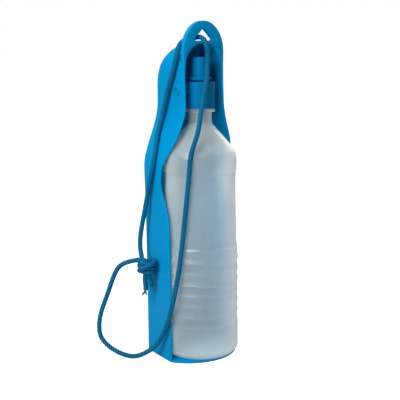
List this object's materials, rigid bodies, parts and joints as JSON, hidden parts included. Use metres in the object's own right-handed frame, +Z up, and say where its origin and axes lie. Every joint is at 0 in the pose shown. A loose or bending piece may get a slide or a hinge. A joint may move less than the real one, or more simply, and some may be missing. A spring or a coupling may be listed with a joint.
{
  "type": "dog travel water bottle",
  "caption": "Squeeze bottle that folds into a leaf-shaped drinking trough, pinned at its cap, with a push-pull spout and a knotted wrist cord.",
  "frame": {"origin": "on the bottle's axis, on the surface that the trough's end wall stands on", "axes": "+Z up along the bottle's axis towards the spout, -Y out of the trough's open side, +X to the right seen from that side"},
  "size_m": [0.1157, 0.0789, 0.29],
  "materials": {
    "trough_plastic": "satin injection-moulded polypropylene, bright blue",
    "cap_plastic": "smooth satin polypropylene, blue",
    "seal_foam": "closed-cell foam washer, off white",
    "bottle_plastic": "milky translucent blow-moulded polyethylene, soft sheen",
    "cord": "round braided polyester cord, dark blue"
  },
  "bodies": {
    "trough_body": {"trough": "trough_plastic", "lanyard": "cord", "lanyard_knot": "cord"},
    "cap_body": {"cap": "cap_plastic", "cap_seal": "seal_foam"},
    "spout_body": {"pull_spout": "cap_plastic"},
    "bottle_body": {"bottle": "bottle_plastic"}
  },
  "joints": [
    {"name": "bottle_swing", "type": "hinge", "parent": "trough_body", "child": "cap_body", "pos_m": [0, 0.004, 0.233], "axis": [-1, 0, 0], "range_deg": [0, 130], "deforming": ["lanyard"]},
    {"name": "bottle_unscrew", "type": "hinge", "parent": "cap_body", "child": "bottle_body", "pos_m": [0, 0, 0.222], "axis": [0, 0, -1], "range_deg": [0, 540]},
    {"name": "spout_pull", "type": "slide", "parent": "cap_body", "child": "spout_body", "axis": [0, 0, 1], "range_m": [0, 0.004]}
  ]
}
